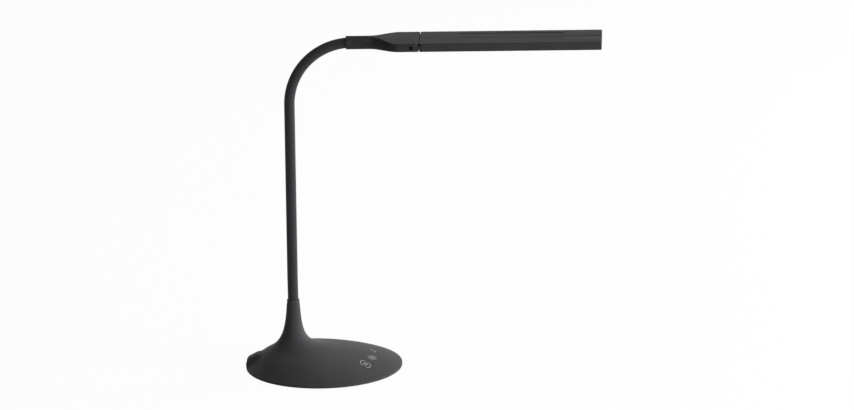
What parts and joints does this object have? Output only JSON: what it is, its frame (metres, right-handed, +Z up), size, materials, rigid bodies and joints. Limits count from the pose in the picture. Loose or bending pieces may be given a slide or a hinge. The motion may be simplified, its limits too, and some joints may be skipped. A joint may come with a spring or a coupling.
{
  "type": "folding desk lamp",
  "caption": "Desk lamp with a round weighted base flaring into a bendable neck, and a flat head of two side-by-side light bars that swing outward on upright pins.",
  "frame": {"origin": "on the table under the centre of the base, at the middle foot's lower face", "axes": "+X runs forward from the base towards the light bars' free end, +Z is up, +Y is the lamp's left"},
  "size_m": [0.3918, 0.17, 0.3701],
  "materials": {
    "shell": "soft-touch matte black",
    "light_shell": "fine matte black",
    "sleeve": "matte silicone, near black",
    "feet": "matte dark rubber",
    "plate": "black powder coat",
    "steel": "plain machined steel",
    "brass": "plain turned brass",
    "board": "green solder mask",
    "pad": "soft grey contact foam",
    "socket": "plain moulded black",
    "frost": "milky translucent",
    "strip": "white solder mask on aluminium",
    "chip": "yellow phosphor"
  },
  "bodies": {
    "base": {"base_shell": "shell", "base_plate": "plate", "rubber_feet": "feet", "plate_screws": "steel", "ballast_disc": "steel", "control_board": "board", "touch_pads": "pad", "socket_bezel": "socket", "power_socket": "socket", "socket_pin": "brass", "neck_nut": "brass", "neck_collar": "light_shell", "neck_core_0": "steel", "neck_sleeve_0": "sleeve"},
    "neck_1": {"neck_core_1": "steel", "neck_sleeve_1": "sleeve"},
    "neck_2": {"neck_core_2": "steel", "neck_sleeve_2": "sleeve"},
    "neck_3": {"neck_core_3": "steel", "neck_sleeve_3": "sleeve"},
    "neck_4": {"neck_core_4": "steel", "neck_sleeve_4": "sleeve"},
    "neck_5": {"neck_core_5": "steel", "neck_sleeve_5": "sleeve"},
    "head": {"neck_core_6": "steel", "neck_sleeve_6": "sleeve", "neck_ferrule": "brass", "coupling_ring": "light_shell", "coupling_top": "light_shell", "coupling_bottom": "light_shell", "coupling_screws": "steel", "hinge_pin_left": "steel", "hinge_pin_right": "steel"},
    "bar_left": {"bar_housing_left": "light_shell", "diffuser_left": "frost", "led_strip_left": "strip", "led_chips_left": "chip", "end_cap_left": "light_shell"},
    "bar_right": {"bar_housing_right": "light_shell", "diffuser_right": "frost", "led_strip_right": "strip", "led_chips_right": "chip", "end_cap_right": "light_shell"}
  },
  "joints": [
    {"name": "neck_bend_1", "type": "hinge", "parent": "base", "child": "neck_1", "pos_m": [-0.0318, 0, 0.101], "axis": [0, 1, 0], "range_deg": [-18, 15]},
    {"name": "neck_bend_2", "type": "hinge", "parent": "neck_1", "child": "neck_2", "pos_m": [-0.03129, 0, 0.1495], "axis": [0.9999, 0, -0.0105], "range_deg": [-18, 18]},
    {"name": "neck_bend_3", "type": "hinge", "parent": "neck_2", "child": "neck_3", "pos_m": [-0.03078, 0, 0.198], "axis": [0, 1, 0], "range_deg": [-18, 15]},
    {"name": "neck_bend_4", "type": "hinge", "parent": "neck_3", "child": "neck_4", "pos_m": [-0.03028, 0, 0.24649], "axis": [0.9999, 0, -0.0105], "range_deg": [-18, 18]},
    {"name": "neck_bend_5", "type": "hinge", "parent": "neck_4", "child": "neck_5", "pos_m": [-0.02977, 0, 0.29499], "axis": [0, 1, 0], "range_deg": [-18, 15]},
    {"name": "neck_bend_6", "type": "hinge", "parent": "neck_5", "child": "head", "pos_m": [0.00304, 0, 0.35274], "axis": [0.521, 0, -0.8536], "range_deg": [-18, 18]},
    {"name": "swing_left", "type": "hinge", "parent": "head", "child": "bar_left", "pos_m": [0.10693, 0.02395, 0.36277], "axis": [0, 0, 1], "range_deg": [0, 90]},
    {"name": "swing_right", "type": "hinge", "parent": "head", "child": "bar_right", "pos_m": [0.10693, -0.02395, 0.36277], "axis": [0, 0, -1], "range_deg": [0, 90]}
  ]
}
